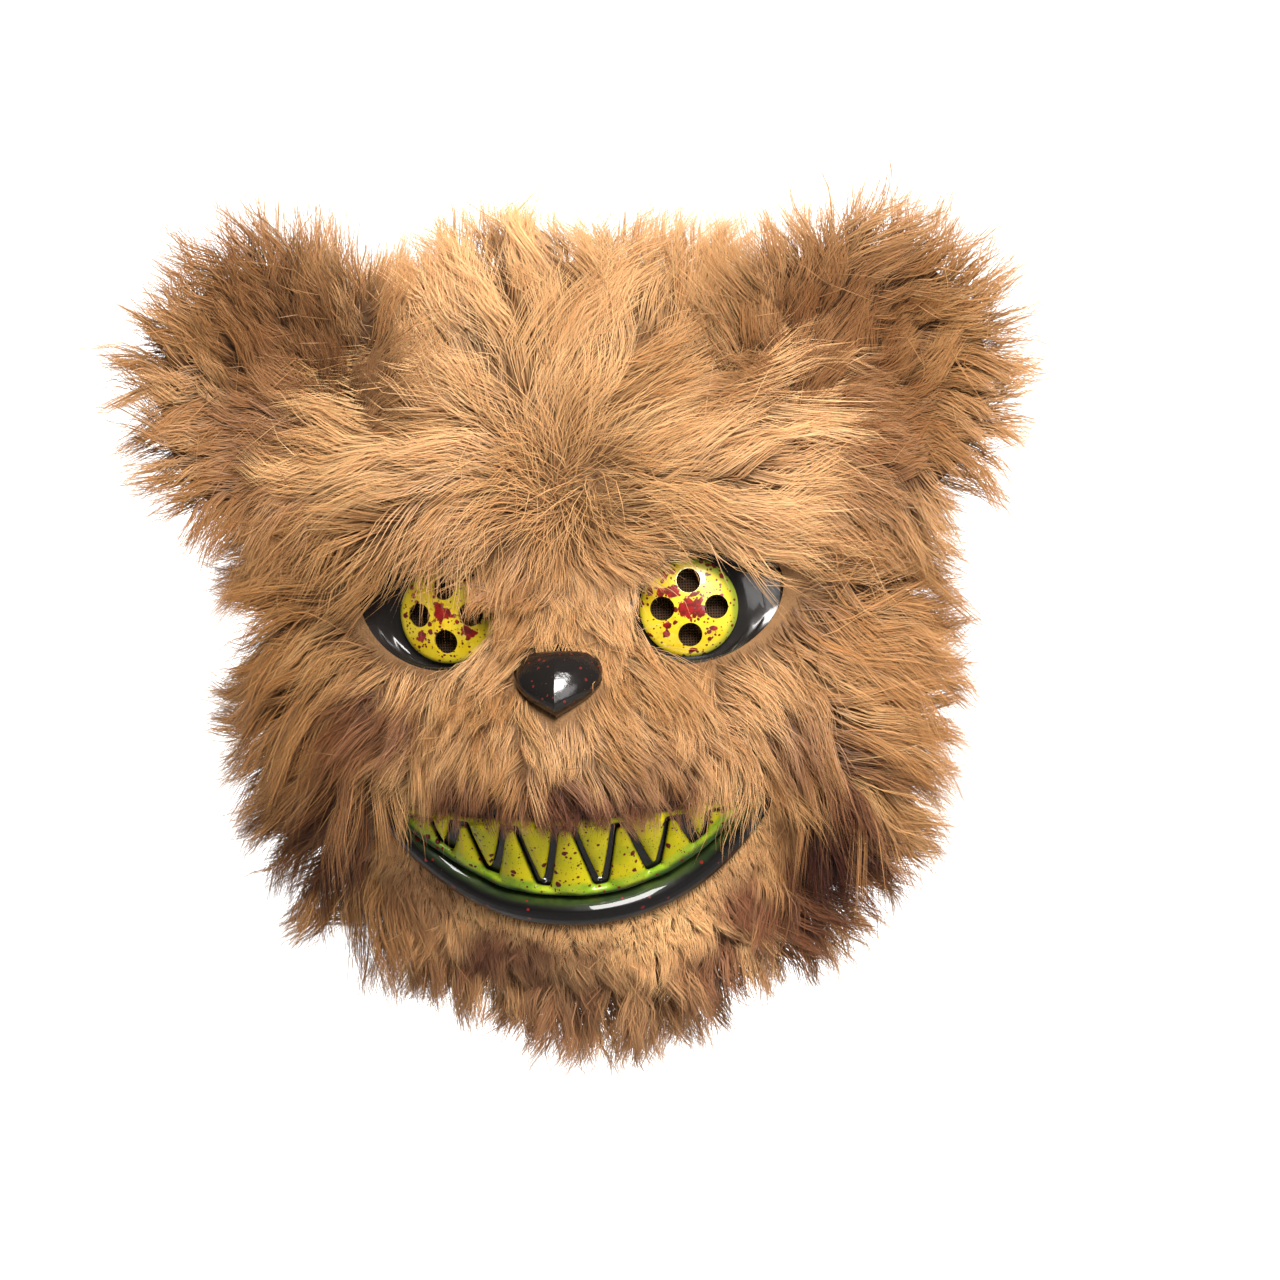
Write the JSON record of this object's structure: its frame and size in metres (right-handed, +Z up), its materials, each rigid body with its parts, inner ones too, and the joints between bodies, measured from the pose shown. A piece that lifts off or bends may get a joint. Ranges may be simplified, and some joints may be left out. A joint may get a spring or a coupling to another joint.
{
  "type": "bear mask",
  "caption": "Plush bear face mask: a thin moulded shell under long-pile fur, with round eyes, a toothed grin, cupped ears and an elastic head strap.",
  "frame": {"origin": "inner face of the shell on the bridge of the wearer's nose, midway between the eyes", "axes": "+Z up, the mask looks along -Y, +X towards the wearer's left; the head leaves the shell along +Y"},
  "size_m": [0.2626, 0.2042, 0.2505],
  "materials": {
    "shell": "gloss black, thermoformed sheet",
    "eye_paint": "gloss yellow paint with red spatter",
    "gauze": "thin black gauze",
    "nose_gloss": "gloss black paint with a little red spatter",
    "lip_paint": "gloss black outside, shading to lime green inside",
    "tooth_paint": "satin yellow paint with red spatter",
    "fur": "long-pile brown fur fabric with faint red-brown stains",
    "elastic": "woven black elastic",
    "rivet": "plated"
  },
  "bodies": {
    "root": {"face_shell": "shell", "eye_left": "eye_paint", "eye_right": "eye_paint", "eye_gauze_left": "gauze", "eye_gauze_right": "gauze", "nose": "nose_gloss", "lower_lip": "lip_paint", "lower_teeth": "tooth_paint", "upper_teeth": "tooth_paint", "fur_cover": "fur", "ear_left": "fur", "ear_right": "fur", "strap": "elastic", "strap_rivet_left": "rivet", "strap_rivet_right": "rivet"}
  },
  "joints": []
}
